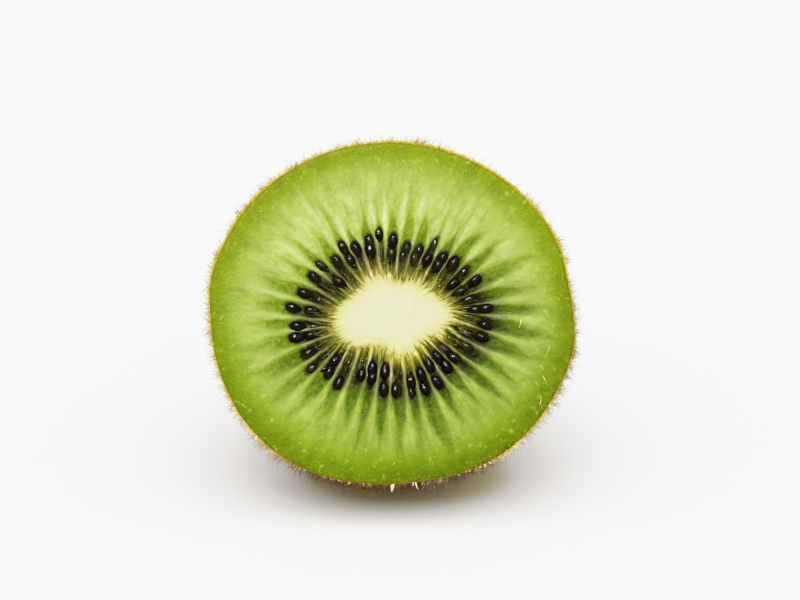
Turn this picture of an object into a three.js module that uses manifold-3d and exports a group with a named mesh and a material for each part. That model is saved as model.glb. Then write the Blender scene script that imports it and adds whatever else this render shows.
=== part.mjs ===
// Half of a kiwi fruit, cut across and lying on its furry skin with the cut face leaning back.
// Millimetres, +Z up. The cut face looks along -Y and up; the fruit's own axis runs away from it.
//
// Each form is worked out in the fruit's own frame first:
//   across  to the right along the cut face
//   rise    up the cut face
//   out     square to the cut face, 0 on it and negative inside the fruit
// and is then leaned back, set on the ground and centred over the origin.

import * as THREE from 'three';
import { mergeVertices } from 'three/addons/utils/BufferGeometryUtils.js';
import Module from 'manifold-3d';

// ---- the whole half ----
const FACE_HALF_WIDTH = 26.95;
const FACE_HALF_HEIGHT = 25.45;
const DEPTH = 38; // from the cut to the stem end
const FULLNESS = 2.1; // 2 is an ellipsoid, more is a fuller, squarer end
const LEAN = 28; // degrees that the cut face leans back
const REST_CUT = 0.5; // how deep the ground flattens the skin
const RIM_ROUNDING = 0.25; // the skin's edge at the cut

// Slow swells of the outline: so many waves round the fruit, how strong, where the first crest is.
const OUTLINE_SWELLS = [
  { waves: 1, strength: 0.0151, crest: -122 },
  { waves: 3, strength: 0.0066, crest: -18 },
  { waves: 4, strength: 0.0083, crest: -43 },
  { waves: 5, strength: 0.0048, crest: 19 },
];

// Local dents of the skin, in millimetres; a negative depth is a bulge.
const SKIN_DENTS = [
  { at: 10, depth: 0.4, spread: 9 },
  { at: -12, depth: -0.45, spread: 9 },
  { at: 170, depth: -0.35, spread: 9 },
];

// ---- the pale heart, which runs through the fruit along its axis ----
const HEART_HALF_WIDTH = 8.2;
const HEART_HALF_HEIGHT = 5.3;
const HEART_LENGTH = 32;
const HEART_TAPER = 0.62; // share of its width that it has lost at its inner end
const HEART_END_ROUNDING = 1.2;
const HEART_GAP = 0.3; // between the heart and the flesh
const HEART_SWELLS = [
  { waves: 1, strength: 0.099, crest: -106 },
  { waves: 3, strength: 0.034, crest: -26 },
  { waves: 4, strength: 0.076, crest: 20 },
  { waves: 5, strength: 0.051, crest: -10 },
  { waves: 6, strength: 0.042, crest: -10 },
];

// ---- locules, the seed chambers that stand round the heart like spokes ----
const LOCULES = 37;
const FIRST_WALL = 6; // degrees
const WALL_JITTER = 1.7; // degrees
const LOCULE_DEPTH = 0.3; // how far a chamber's floor lies under the cut
const LOCULE_START = 0.9; // from the heart's edge
const SHORTEST_LOCULE = 9.5; // from the heart's edge, where a chamber runs out in a point
const LONGEST_LOCULE = 13;
const COLUMNS_PER_LOCULE = 3; // one column of points on the wall, two in the chamber

// The spokes don't run straight out. They leave the heart leaning this many degrees off, in waves
// like the outlines', and straighten as they go.
const SPOKE_LEANS = [
  { waves: 1, strength: 3.8, crest: -24 },
  { waves: 2, strength: 11.7, crest: 49 },
  { waves: 3, strength: 1.8, crest: 21 },
  { waves: 4, strength: 3.9, crest: 44 },
  { waves: 5, strength: 2.1, crest: 27 },
];
const SPOKE_FADE = 5.5; // distance from the heart over which the lean mostly fades
const SPOKE_TRUE_AT = 7; // distance from the heart at which a spoke stands at its own angle

// ---- seeds, an outer and an inner row; distances are from the heart's edge ----
const SEED_LENGTH = 2.45;
const SEED_WIDTH = 1.35;
const SEED_THICKNESS = 1.1;
const SEED_POINT = 0.35; // how much narrower the end next to the heart is
const SEED_SIZE_SPREAD = 0.1;
const SEED_TURN = 9; // degrees to either side of the spoke
const SEED_SITS = -0.14; // its middle, under the cut
const SUNK_SEED_SITS = -0.5;
const SUNK_CHANCE = 0.2;
const SEED_ROWS = [
  { chance: 0.95, side: 0.2, near: 4.7, far: 6.8 },
  { chance: 0.55, side: 0.1, near: 2.7, far: 3.9 },
];
const DRAW_START = 3286822; // the random draw's first number

// ---- the stem's scar at the far end, a low ring round a dry dimple ----
const SCAR_RADIUS = 3.1;
const SCAR_HEIGHT = 0.55;
const SCAR_DIMPLE_HEIGHT = 0.1;

// ---- how finely the surfaces are divided ----
const SKIN_RINGS = 14;
const FACE_RINGS = 8;

const degrees = THREE.MathUtils.degToRad;
const TURN = 2 * Math.PI;

// A repeatable random draw.
const draw = {
  state: DRAW_START,
  next() {
    this.state = (Math.imul(this.state, 1664525) + 1013904223) >>> 0;
    return this.state / 4294967296;
  },
  between(low, high) {
    return low + (high - low) * this.next();
  },
};

// ---- outlines, as a radius at an angle round the fruit's axis ----

function ellipseRadius(angle, halfWidth, halfHeight) {
  return (halfWidth * halfHeight) / Math.hypot(halfHeight * Math.cos(angle), halfWidth * Math.sin(angle));
}

// The sum of a few waves round the fruit at an angle.
function wavesAt(angle, all) {
  let sum = 0;
  for (const { waves, strength, crest } of all) {
    sum += strength * Math.cos(waves * (angle - degrees(crest)));
  }
  return sum;
}

function dentAt(angle) {
  let depth = 0;
  for (const dent of SKIN_DENTS) {
    const away = Math.atan2(Math.sin(angle - degrees(dent.at)), Math.cos(angle - degrees(dent.at)));
    depth += dent.depth * Math.exp(-((away / degrees(dent.spread)) ** 2));
  }
  return depth;
}

function skinRadius(angle) {
  const ellipse = ellipseRadius(angle, FACE_HALF_WIDTH, FACE_HALF_HEIGHT);
  return ellipse * (1 + wavesAt(angle, OUTLINE_SWELLS)) - dentAt(angle);
}

function heartRadius(angle) {
  return ellipseRadius(angle, HEART_HALF_WIDTH, HEART_HALF_HEIGHT) * (1 + wavesAt(angle, HEART_SWELLS));
}

// The true angle of a spoke at a distance from the heart's edge.
function spokeAngle(spoke, distance) {
  const bend = Math.exp(-distance / SPOKE_FADE) - Math.exp(-SPOKE_TRUE_AT / SPOKE_FADE);
  return spoke - degrees(wavesAt(spoke, SPOKE_LEANS)) * bend;
}

// Share of the cut's width that the fruit still has at a depth, 0 to 1.
function fullnessAt(depth) {
  return (1 - (depth / DEPTH) ** FULLNESS) ** (1 / FULLNESS);
}

// Share of the heart's width that it still has at a depth.
function heartTaper(depth) {
  return 1 - HEART_TAPER * (depth / HEART_LENGTH) ** 2;
}

// ---- the layout of walls and seeds, drawn once ----

for (let skipped = 0; skipped < 4; skipped++) {
  draw.next();
}

const walls = [];
for (let k = 0; k < LOCULES; k++) {
  walls.push(degrees(FIRST_WALL + (k * 360) / LOCULES + draw.between(-WALL_JITTER, WALL_JITTER)));
}
walls.push(walls[0] + TURN);

const seeds = [];
for (let k = 0; k < LOCULES; k++) {
  const middle = (walls[k] + walls[k + 1]) / 2;
  const width = walls[k + 1] - walls[k];
  for (const row of SEED_ROWS) {
    const grows = draw.next() < row.chance;
    const spoke = middle + width * draw.between(-row.side, row.side);
    const distance = draw.between(row.near, row.far);
    const sunk = draw.next() < SUNK_CHANCE;
    const turn = degrees(draw.between(-SEED_TURN, SEED_TURN));
    const size = 1 + draw.between(-SEED_SIZE_SPREAD, SEED_SIZE_SPREAD);
    if (grows) {
      const angle = spokeAngle(spoke, distance);
      const radius = heartRadius(angle) + distance;
      const drift = spokeAngle(spoke, distance + 1) - angle; // how far the spoke turns in a millimetre
      seeds.push({ angle, radius, direction: angle + Math.atan(radius * drift) + turn, sunk, size });
    }
  }
}

// ---- a body of rings round the fruit's axis ----

// The columns of points: one on each wall, the others evenly between. Each knows its chamber's reach.
const columns = [];
for (let k = 0; k < LOCULES; k++) {
  const reach = draw.between(SHORTEST_LOCULE, LONGEST_LOCULE);
  for (let step = 0; step < COLUMNS_PER_LOCULE; step++) {
    const share = step / COLUMNS_PER_LOCULE;
    columns.push({ spoke: walls[k] + share * (walls[k + 1] - walls[k]), onWall: step === 0, reach });
  }
}

// Turns a row of rings into a closed body. A lathe joins the points up, and each ring then gives
// its points their true angle, radius and depth. The first and last ring are points on the axis.
// A ring's share says how far it is from the heart to the skin, and so how its spokes lean.
function ringBody(rings) {
  const profile = rings.map((ring, j) => {
    const onAxis = j === 0 || j === rings.length - 1;
    return new THREE.Vector2(onAxis ? 0 : 1, j);
  });
  const lathe = new THREE.LatheGeometry(profile, columns.length);
  const points = lathe.attributes.position;
  for (let i = 0; i <= columns.length; i++) {
    const column = columns[i % columns.length];
    const room = skinRadius(column.spoke) - heartRadius(column.spoke);
    rings.forEach((ring, j) => {
      const angle = spokeAngle(column.spoke, ring.share * room);
      const radius = ring.radius(angle);
      const out = ring.out(column, radius - heartRadius(angle));
      points.setXYZ(i * rings.length + j, radius * Math.cos(angle), radius * Math.sin(angle), out);
    });
  }
  return lathe;
}

const onAxis = (depth) => ({ share: 0, radius: () => 0, out: () => -depth });

// How deep the cut dips at a distance from the heart's edge, as a share of a chamber's depth.
function chamberProfile(distance, reach) {
  const along = (distance - LOCULE_START) / (reach - LOCULE_START);
  if (along <= 0 || along >= 1) {
    return 0;
  }
  return Math.sin(Math.PI * along ** 0.7) ** 0.8;
}

// A ring on the cut face, at a share of the way from the heart to the skin.
function faceRing(share) {
  const inner = (angle) => heartRadius(angle) + HEART_GAP;
  const outer = (angle) => skinRadius(angle) - RIM_ROUNDING;
  return {
    share,
    radius: (angle) => inner(angle) + share * (outer(angle) - inner(angle)),
    out: (column, distance) => (column.onWall ? 0 : -LOCULE_DEPTH * chamberProfile(distance, column.reach)),
  };
}

function skinRing(depth) {
  return { share: 1, radius: (angle) => skinRadius(angle) * fullnessAt(depth), out: () => -depth };
}

function scarRing(radiusShare, height) {
  const nominal = SCAR_RADIUS * radiusShare;
  const share = nominal / FACE_HALF_WIDTH;
  const depth = DEPTH * (1 - share ** FULLNESS) ** (1 / FULLNESS);
  return { share: 1, radius: () => nominal, out: () => -(depth + height) };
}

// A ring of the heart, or of the hollow that the heart fills when it is grown by the gap.
function heartRing(depth, shrink, grow) {
  return {
    share: 0,
    radius: (angle) => heartRadius(angle) * heartTaper(depth) * shrink + grow,
    out: () => -depth,
  };
}

// The depth of a ring of the skin. The rings stand closer together towards the stem end.
function skinRingDepth(step) {
  return DEPTH * Math.sin((step / (SKIN_RINGS + 1)) * (Math.PI / 2));
}

// The rings run from the stem end round the skin, across the cut and down the hollow for the heart.
function fleshGeometry() {
  const scar = [
    scarRing(0.5, SCAR_DIMPLE_HEIGHT),
    scarRing(0.8, SCAR_HEIGHT),
    scarRing(1, SCAR_HEIGHT * 0.6),
    scarRing(1.25, 0),
  ];
  const skin = [];
  for (let step = SKIN_RINGS; step > 0; step--) {
    skin.push(skinRing(skinRingDepth(step)));
  }
  const edge = skinRing(RIM_ROUNDING);
  const face = [];
  for (let step = FACE_RINGS; step >= 0; step--) {
    face.push(faceRing((step / FACE_RINGS) ** 1.5));
  }
  const hollow = [
    heartRing(HEART_LENGTH * 0.55, 1, HEART_GAP),
    heartRing(HEART_LENGTH - HEART_END_ROUNDING, 1, HEART_GAP),
    heartRing(HEART_LENGTH + HEART_GAP, 0.7, HEART_GAP),
  ];
  const end = onAxis(HEART_LENGTH + HEART_GAP);
  return ringBody([onAxis(DEPTH + SCAR_DIMPLE_HEIGHT), ...scar, ...skin, edge, ...face, ...hollow, end]);
}

function heartGeometry() {
  return ringBody([
    onAxis(HEART_LENGTH),
    heartRing(HEART_LENGTH, 0.7, 0),
    heartRing(HEART_LENGTH - HEART_END_ROUNDING, 1, 0),
    heartRing(HEART_LENGTH * 0.55, 1, 0),
    heartRing(0, 1, 0),
    heartRing(0, 0.5, 0),
    onAxis(0),
  ]);
}

// One seed, a ball drawn out and narrowed towards the heart, lying along its spoke.
function seedGeometry({ angle, radius, direction, sunk, size }) {
  const ball = new THREE.SphereGeometry(0.5, 6, 4);
  ball.rotateZ(Math.PI / 2); // its poles lie along the spoke, so its faces are even
  const points = ball.attributes.position;
  for (let i = 0; i < points.count; i++) {
    const along = points.getX(i);
    const narrow = 1 + SEED_POINT * along;
    points.setXYZ(i, along, points.getY(i) * narrow, points.getZ(i) * narrow);
  }
  ball.scale(SEED_LENGTH * size, SEED_WIDTH * size, SEED_THICKNESS * size);
  ball.rotateZ(direction);
  ball.translate(radius * Math.cos(angle), radius * Math.sin(angle), sunk ? SUNK_SEED_SITS : SEED_SITS);
  return ball;
}

// ---- joining and cutting ----

const wasm = await Module();
wasm.setup();

// A closed geometry as a solid that can be joined and cut.
function solidOf(geometry) {
  const bare = geometry.clone();
  bare.deleteAttribute('normal');
  bare.deleteAttribute('uv');
  const merged = mergeVertices(bare, 1e-5);
  const corners = [];
  for (let i = 0; i < merged.index.count; i += 3) {
    const [a, b, c] = [0, 1, 2].map((step) => merged.index.getX(i + step));
    if (a !== b && b !== c && c !== a) {
      corners.push(a, b, c);
    }
  }
  const vertProperties = new Float32Array(merged.attributes.position.array);
  return new wasm.Manifold(new wasm.Mesh({ numProp: 3, vertProperties, triVerts: new Uint32Array(corners) }));
}

function geometryOf(solid) {
  const mesh = solid.getMesh();
  const geometry = new THREE.BufferGeometry();
  geometry.setAttribute('position', new THREE.BufferAttribute(mesh.vertProperties, 3));
  geometry.setIndex(new THREE.BufferAttribute(mesh.triVerts, 1));
  geometry.computeVertexNormals();
  return geometry;
}

// Leans a geometry back from the fruit's own frame into the part's.
function leanBack(geometry) {
  return geometry.clone().rotateX(degrees(90 - LEAN));
}

// Everything under the ground plane, which the resting skin is pressed flat against.
function groundBlock(level) {
  const reach = 3 * DEPTH;
  const block = new THREE.BoxGeometry(reach, reach, DEPTH);
  return block.translate(0, 0, level - DEPTH / 2);
}

const rounded = leanBack(fleshGeometry());
rounded.computeBoundingBox();
const ground = rounded.boundingBox.min.z + REST_CUT;

let fleshSolid = solidOf(rounded);
for (const seed of seeds) {
  fleshSolid = fleshSolid.add(solidOf(leanBack(seedGeometry(seed))));
}
fleshSolid = fleshSolid.subtract(solidOf(groundBlock(ground)));

// ---- the named parts ----

const fleshMaterial = new THREE.MeshStandardMaterial({ color: 0x9dbb42, roughness: 0.4, metalness: 0 });
const heartMaterial = new THREE.MeshStandardMaterial({ color: 0xece8c6, roughness: 0.5, metalness: 0 });

const flesh = new THREE.Mesh(geometryOf(fleshSolid), fleshMaterial);
flesh.name = 'flesh';

const heart = new THREE.Mesh(leanBack(heartGeometry()), heartMaterial);
heart.name = 'heart';

const kiwiHalf = new THREE.Group();
kiwiHalf.add(flesh, heart);

// The origin is under the middle of the part, on the ground.
const extent = new THREE.Box3().setFromObject(flesh);
const middle = extent.getCenter(new THREE.Vector3());
kiwiHalf.position.set(-middle.x, -middle.y, -ground);

export default kiwiHalf;
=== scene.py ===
# %% [markdown]
# # Half of a kiwi fruit
#
# A kiwi fruit that is cut across shows a pale heart, dark seeds in a ring of narrow chambers that stand
# round the heart like spokes, a band of lighter flesh, and a thin brown skin with short hairs. This half
# lies on its skin, so its cut face leans back. The solid model already has the right size and place. This
# script dresses it: it makes the cut face and the skin as fine meshes, gives each a material, and adds
# what is too small for the solids, such as the hairs.

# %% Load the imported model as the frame
import math

import bmesh
import bpy
import numpy as np
from mathutils import Matrix, Vector, noise


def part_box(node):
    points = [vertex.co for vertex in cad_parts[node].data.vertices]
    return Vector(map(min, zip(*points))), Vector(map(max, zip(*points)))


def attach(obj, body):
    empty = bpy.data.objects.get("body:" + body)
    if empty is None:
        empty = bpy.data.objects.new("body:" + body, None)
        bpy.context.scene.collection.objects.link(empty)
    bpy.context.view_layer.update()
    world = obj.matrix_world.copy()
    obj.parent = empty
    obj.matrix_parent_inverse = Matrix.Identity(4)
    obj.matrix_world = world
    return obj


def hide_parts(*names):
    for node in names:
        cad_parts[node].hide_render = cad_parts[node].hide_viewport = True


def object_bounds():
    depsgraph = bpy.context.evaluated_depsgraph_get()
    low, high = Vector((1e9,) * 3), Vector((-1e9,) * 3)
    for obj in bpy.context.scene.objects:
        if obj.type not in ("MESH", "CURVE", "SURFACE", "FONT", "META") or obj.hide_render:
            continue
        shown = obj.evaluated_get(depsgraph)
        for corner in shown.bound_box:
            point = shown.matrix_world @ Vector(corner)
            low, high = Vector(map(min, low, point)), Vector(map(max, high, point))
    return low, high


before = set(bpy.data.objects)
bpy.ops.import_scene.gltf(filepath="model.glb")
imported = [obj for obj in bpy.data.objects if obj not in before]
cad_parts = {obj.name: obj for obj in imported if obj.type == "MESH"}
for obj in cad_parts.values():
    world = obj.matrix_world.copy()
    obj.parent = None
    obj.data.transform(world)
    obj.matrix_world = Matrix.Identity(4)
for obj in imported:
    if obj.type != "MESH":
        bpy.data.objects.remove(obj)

MM = 0.001
cad_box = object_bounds()
cad_corners = [[round(v / MM, 1) for v in corner] for corner in cad_box]
print("solid model from", cad_corners[0], "to", cad_corners[1], "mm")

# %% [markdown]
# ## The fruit's outlines
#
# Nothing on a fruit is a true ellipse, but an ellipse is a good start. A few slow waves round the edge,
# each with its own strength and crest, turn it into the soft, uneven outline of the real thing. The same
# recipe serves the skin and the heart. The spokes between the chambers aren't straight either: they leave
# the heart leaning to one side or the other. Sizes here are millimetres and are those of the solid model.

# %% Sizes of the half
LEAN = 28
DEPTH = 38
FULLNESS = 2.1
RIM_ROUNDING = 0.25
FACE_HALF_SIZE = (26.95, 25.45)
OUTLINE_SWELLS = ((1, 0.0151, -122), (3, 0.0066, -18), (4, 0.0083, -43), (5, 0.0048, 19))
SKIN_DENTS = ((10, 0.4, 9), (-12, -0.45, 9), (170, -0.35, 9))
HEART_HALF_SIZE = (8.2, 5.3)
HEART_SWELLS = ((1, 0.099, -106), (3, 0.034, -26), (4, 0.076, 20), (5, 0.051, -10), (6, 0.042, -10))
HEART_LENGTH = 32
HEART_TAPER = 0.62
HEART_GAP = 0.3
SPOKE_LEANS = ((1, 3.8, -24), (2, 11.7, 49), (3, 1.8, 21), (4, 3.9, 44), (5, 2.1, 27))
SPOKE_FADE = 5.5
SPOKE_TRUE_AT = 7

# %% Outlines as a radius at an angle
def ellipse_radius(angle, half_size):
    half_width, half_height = half_size
    return half_width * half_height / np.hypot(half_height * np.cos(angle), half_width * np.sin(angle))


def waves_at(angle, all_waves):
    return sum(
        strength * np.cos(waves * (angle - math.radians(crest))) for waves, strength, crest in all_waves
    )


def turn_between(angle, other):
    """The shorter way from one angle to another, in degrees."""
    return (np.degrees(angle - other) + 180) % 360 - 180


def hump(angle, at, wide):
    """1 at a place given in degrees, and fading to nothing on both sides of it."""
    return np.exp(-(turn_between(angle, math.radians(at)) / wide) ** 2)


def skin_radius(angle):
    dents = sum(deep * hump(angle, at, wide) for at, deep, wide in SKIN_DENTS)
    return ellipse_radius(angle, FACE_HALF_SIZE) * (1 + waves_at(angle, OUTLINE_SWELLS)) - dents


def heart_radius(angle):
    return ellipse_radius(angle, HEART_HALF_SIZE) * (1 + waves_at(angle, HEART_SWELLS))


def room_at(angle):
    """How much flesh there is between the heart and the skin."""
    return skin_radius(angle) - heart_radius(angle)


def spoke_angle(spoke, distance):
    """The true angle of a spoke at a distance from the heart. Spokes leave it leaning, then straighten."""
    bend = np.exp(-distance / SPOKE_FADE) - math.exp(-SPOKE_TRUE_AT / SPOKE_FADE)
    return spoke - np.radians(waves_at(spoke, SPOKE_LEANS)) * bend


def fullness_at(depth, whole=DEPTH):
    """Share of the cut's width that the fruit still has at a depth."""
    return np.clip(1 - (np.asarray(depth) / whole) ** FULLNESS, 0, 1) ** (1 / FULLNESS)


def heart_taper(depth):
    return 1 - HEART_TAPER * (depth / HEART_LENGTH) ** 2


def place_at(angle, radius, out):
    """Places in the fruit's own frame, one a row."""
    return np.stack([radius * np.cos(angle), radius * np.sin(angle), out + 0 * angle], 1)

# %% [markdown]
# ## From the fruit's own frame into the model's
#
# It is far easier to model with the cut face lying flat: *across* and *rise* along the face, *out* square
# to it, negative inside the fruit. One matrix then leans everything back and puts it where the solid is.
# The face's middle is found from the box of the solid node, so nothing is fitted by eye.

# %% Where the face is
lean = math.radians(LEAN)
all_round = np.radians(np.arange(0, 360, 0.5))
rim_across = skin_radius(all_round) * np.cos(all_round)
rim_rise = skin_radius(all_round) * np.sin(all_round)
low, high = (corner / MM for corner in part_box("flesh"))
face_middle = Vector((
    low.x - rim_across.min(),
    low.y - (rim_rise.min() + RIM_ROUNDING) * math.sin(lean),
    high.z - rim_rise.max() * math.cos(lean) + RIM_ROUNDING * math.sin(lean),
))
FRUIT_TO_MODEL = (
    Matrix.Translation(face_middle * MM)
    @ Matrix.Rotation(math.radians(90 - LEAN), 4, "X")
    @ Matrix.Scale(MM, 4)
)
print("middle of the cut face, mm:", [round(v, 2) for v in face_middle])

# %% [markdown]
# ## Chambers and seeds
#
# The chambers are spread evenly and then nudged by a repeatable random draw. Each holds one or two seeds,
# an outer one nearly always and an inner one in about half. The draw is the same small sum as in the
# solid model, so every seed lies exactly where its solid is.

# %% Numbers of the layout
LOCULES = 37
FIRST_WALL = 6
WALL_JITTER = 1.7
LOCULE_DEPTH = 0.3
LOCULE_START = 0.9
LOCULE_REACH = (9.5, 13)
SEED_ROWS = ((0.95, 0.2, 4.7, 6.8), (0.55, 0.1, 2.7, 3.9))
SUNK_CHANCE = 0.2
SEED_TURN = 9
SEED_SIZE_SPREAD = 0.1
SEED_SIZE = (2.3, 1.4, 1.1)
DRAW_START = 3286822
DRAWS_SKIPPED = 4
DRAW_FACTOR = 1664525
DRAW_STEP = 1013904223
DRAW_RANGE = 2 ** 32

# %% A draw that gives the same numbers in every program
class Draw:
    """A repeatable random draw."""

    def __init__(self, start):
        self.state = start

    def next(self):
        self.state = (self.state * DRAW_FACTOR + DRAW_STEP) % DRAW_RANGE
        return self.state / DRAW_RANGE

    def between(self, least, most):
        return least + (most - least) * self.next()


draw = Draw(DRAW_START)
for skipped in range(DRAWS_SKIPPED):
    draw.next()

# %% Walls, seeds and chambers
walls = []
for k in range(LOCULES):
    nudge = draw.between(-WALL_JITTER, WALL_JITTER)
    walls.append(math.radians(FIRST_WALL + k * 360 / LOCULES + nudge))
walls.append(walls[0] + math.tau)

seeds = []
for k in range(LOCULES):
    middle, width = (walls[k] + walls[k + 1]) / 2, walls[k + 1] - walls[k]
    for chance, side, near, far in SEED_ROWS:
        grows = draw.next() < chance
        spoke = middle + width * draw.between(-side, side)
        distance = draw.between(near, far)
        sunk = draw.next() < SUNK_CHANCE
        turn = math.radians(draw.between(-SEED_TURN, SEED_TURN))
        size = 1 + draw.between(-SEED_SIZE_SPREAD, SEED_SIZE_SPREAD)
        if grows:
            angle = spoke_angle(spoke, distance)
            radius = heart_radius(angle) + distance
            drift = spoke_angle(spoke, distance + 1) - angle
            direction = angle + math.atan(radius * drift) + turn
            across, rise = radius * math.cos(angle), radius * math.sin(angle)
            seeds.append({
                "angle": angle, "across": across, "rise": rise,
                "direction": direction, "sunk": sunk, "size": size,
            })

reaches = np.array([draw.between(*LOCULE_REACH) for k in range(LOCULES)])
tones = np.array([draw.between(-1, 1) for k in range(LOCULES)])
rays = np.array([draw.between(0, 1) for k in range(LOCULES)])
rays = np.append(rays, rays[0])
walls = np.array(walls)
print(len(seeds), "seeds in", LOCULES, "chambers,", sum(seed["sunk"] for seed in seeds), "of them sunk")

# %% [markdown]
# ## A body of rings
#
# The skin, the flesh and the heart are all shapes of revolution that have been pushed out of round. So each
# starts as a line of points that `bmesh.ops.spin` turns round the axis. Every point remembers which ring
# of the body it belongs to, and the rings then hand out the true radius and depth. That gives clean, evenly
# running faces with no seam, where a remeshed shape would have lumps.

# %% Spin rings into a closed body
SAME_POINT = 1e-5
SHARP_EDGE = math.radians(55)


def ring_body(name, rings, columns):
    """A closed mesh object in the fruit's own frame, and the spoke that each of its points is on.
    A ring turns spokes into true angles, radii and heights."""
    bm = bmesh.new()
    ring_of = bm.verts.layers.int.new("ring")
    profile = []
    for j in range(len(rings)):
        on_axis = j in (0, len(rings) - 1)
        point = bm.verts.new((0 if on_axis else 1, 0, -j))
        point[ring_of] = j
        profile.append(point)
    lines = [bm.edges.new(pair) for pair in zip(profile, profile[1:])]
    bmesh.ops.spin(
        bm, geom=profile + lines, axis=(0, 0, 1), cent=(0, 0, 0), angle=math.tau, steps=len(columns),
        use_merge=True,
    )
    bmesh.ops.remove_doubles(bm, verts=bm.verts, dist=SAME_POINT)
    piece = object_from(bm, name)
    spokes = place_rings(piece.data, rings, columns)
    turn_outwards(piece.data)
    return piece, spokes


def object_from(bm, name):
    mesh = bpy.data.meshes.new(name)
    bm.to_mesh(mesh)
    bm.free()
    piece = bpy.data.objects.new(name, mesh)
    bpy.context.scene.collection.objects.link(piece)
    return piece


def vertex_table(mesh):
    table = np.empty(len(mesh.vertices) * 3)
    mesh.vertices.foreach_get("co", table)
    return table.reshape(-1, 3)


def place_rings(mesh, rings, columns):
    """Moves every point of a spun mesh to where its ring says."""
    spun = vertex_table(mesh)
    ring = np.empty(len(spun), int)
    mesh.attributes["ring"].data.foreach_get("value", ring)
    turn = np.arctan2(spun[:, 1], spun[:, 0]) / math.tau
    spokes = columns[np.round(turn * len(columns)).astype(int) % len(columns)]
    placed = np.empty_like(spun)
    for j, give in enumerate(rings):
        mine = ring == j
        angle, radius, out = give(spokes[mine])
        placed[mine] = place_at(angle, radius, out)
    mesh.vertices.foreach_set("co", placed.ravel())
    mesh.update()
    return spokes

# %% Finish a piece
def smooth_faces(bm):
    for face in bm.faces:
        face.smooth = True


def turn_outwards(mesh):
    """Makes the faces of a spun mesh look outwards, and shades all but its sharp edges smooth."""
    bm = bmesh.new()
    bm.from_mesh(mesh)
    bmesh.ops.recalc_face_normals(bm, faces=bm.faces)
    smooth_faces(bm)
    for edge in bm.edges:
        edge.smooth = edge.calc_face_angle(0) < SHARP_EDGE
    bm.to_mesh(mesh)
    bm.free()


def set_attribute(piece, name, values):
    """Stores one number, or one vector, for each point of a piece, for its material to read."""
    kind, key = ("FLOAT", "value") if values.ndim == 1 else ("FLOAT_VECTOR", "vector")
    attribute = piece.data.attributes.new(name, kind, "POINT")
    attribute.data.foreach_set(key, values.astype(np.float32).ravel())


def settle(piece, node):
    """Leans a piece back into the model, hangs it on the root body and hides the solid node it stands for."""
    piece.data.transform(FRUIT_TO_MODEL)
    piece.data.update()
    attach(piece, "root")
    if node:
        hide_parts(node)
    print(f"{piece.name}: {len(piece.data.vertices)} points, {len(piece.data.polygons)} faces")


def on_axis(depth):
    return lambda spoke: (spoke, 0 * spoke, -depth)

# %% [markdown]
# ## The relief of the cut
#
# A knife leaves the face nearly flat. The chambers sink by a few tenths of a millimetre because their jelly
# draws back, the walls between them stay up as fine ridges, and the whole face waves a little. Light needs
# these small slopes to show the face as moist flesh and not as a print, so they are real shape here.

# %% How high the face stands
WALL_HALF_THICKNESS = 0.14
CHAMBERS_REACH_ON = 1.15
CHAMBER_NARROWS = (0.38, 1.12)
POINT_WANDERS = 0.3
POINT_RAGGED = 0.45
WAVE_HEIGHT = 0.07
FIBRE_HEIGHT = 0.05
PULP_HEIGHT = 0.05


def chamber_of(spoke):
    """Which chamber a spoke is in, and how far across it, 0 on one wall and 1 on the next."""
    turned = (spoke - walls[0]) % math.tau + walls[0]
    k = np.clip(np.searchsorted(walls, turned + 1e-9, side="right") - 1, 0, LOCULES - 1)
    return k, (turned - walls[k]) / (walls[k + 1] - walls[k])


def smooth_step(value, start, end):
    share = np.clip((value - start) / (end - start), 0, 1)
    return share * share * (3 - 2 * share)


def noise_of(*coordinates):
    """Smooth noise between about -1 and 1 at many places at once."""
    return np.array([noise.noise(place) for place in zip(*np.broadcast_arrays(*coordinates))])


def chamber_inside(spoke, beyond):
    """How many mm a place lies inside its chamber's ragged, pointed outline. Less than 0 is outside.
    Chambers reach furthest at the lower right, and no two reach equally far."""
    k, across = chamber_of(spoke)
    uneven = 0.08 * np.cos(spoke) - 0.16 * np.sin(spoke) + 0.16 * tones[(k * 7) % LOCULES]
    reach = reaches[k] * (CHAMBERS_REACH_ON + uneven)
    along = np.clip((beyond - LOCULE_START) / (reach - LOCULE_START), 0, 1)
    width = (walls[k + 1] - walls[k]) * (HEART_HALF_SIZE[0] + beyond)
    pointed = smooth_step(along, *CHAMBER_NARROWS)
    middle = 0.5 + POINT_WANDERS * noise_of(k * 3.7, beyond * 0.3, 0.5) * pointed
    ragged = 1 + POINT_RAGGED * noise_of(k * 5.1, beyond * 0.7, 3.0) * pointed
    half = (0.5 * width - WALL_HALF_THICKNESS) * (1 - pointed) * ragged
    side = half - np.abs(across - middle) * width
    return np.minimum(side, np.minimum(beyond - LOCULE_START, (reach + 0.6 - beyond) * 0.6))


def face_height(spoke, angle, radius):
    """Height of the cut in mm: the chambers' dips, slow waves, the fibres and the grain of the pulp."""
    beyond = radius - heart_radius(angle)
    k, across = chamber_of(spoke)
    along = np.clip((beyond - LOCULE_START) / (reaches[k] - LOCULE_START), 0, 1)
    chamber = smooth_step(chamber_inside(spoke, beyond), -0.1, 0.4)
    dip = np.sin(math.pi * along ** 0.7) ** 0.8 * chamber
    x, y = radius * np.cos(angle), radius * np.sin(angle)
    waves = noise_of(x * 0.16, y * 0.16, 0)
    fibres = noise_of(np.cos(spoke) * 22, np.sin(spoke) * 22, beyond * 0.22)
    fibres *= smooth_step(beyond, -2.5, 0.6) * (1 - smooth_step(beyond, 11, 17))
    pulp = noise_of(x * 1.7, y * 1.7, 4) * (0.3 + chamber)
    return -LOCULE_DEPTH * dip + WAVE_HEIGHT * waves + FIBRE_HEIGHT * fibres + PULP_HEIGHT * pulp

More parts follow.
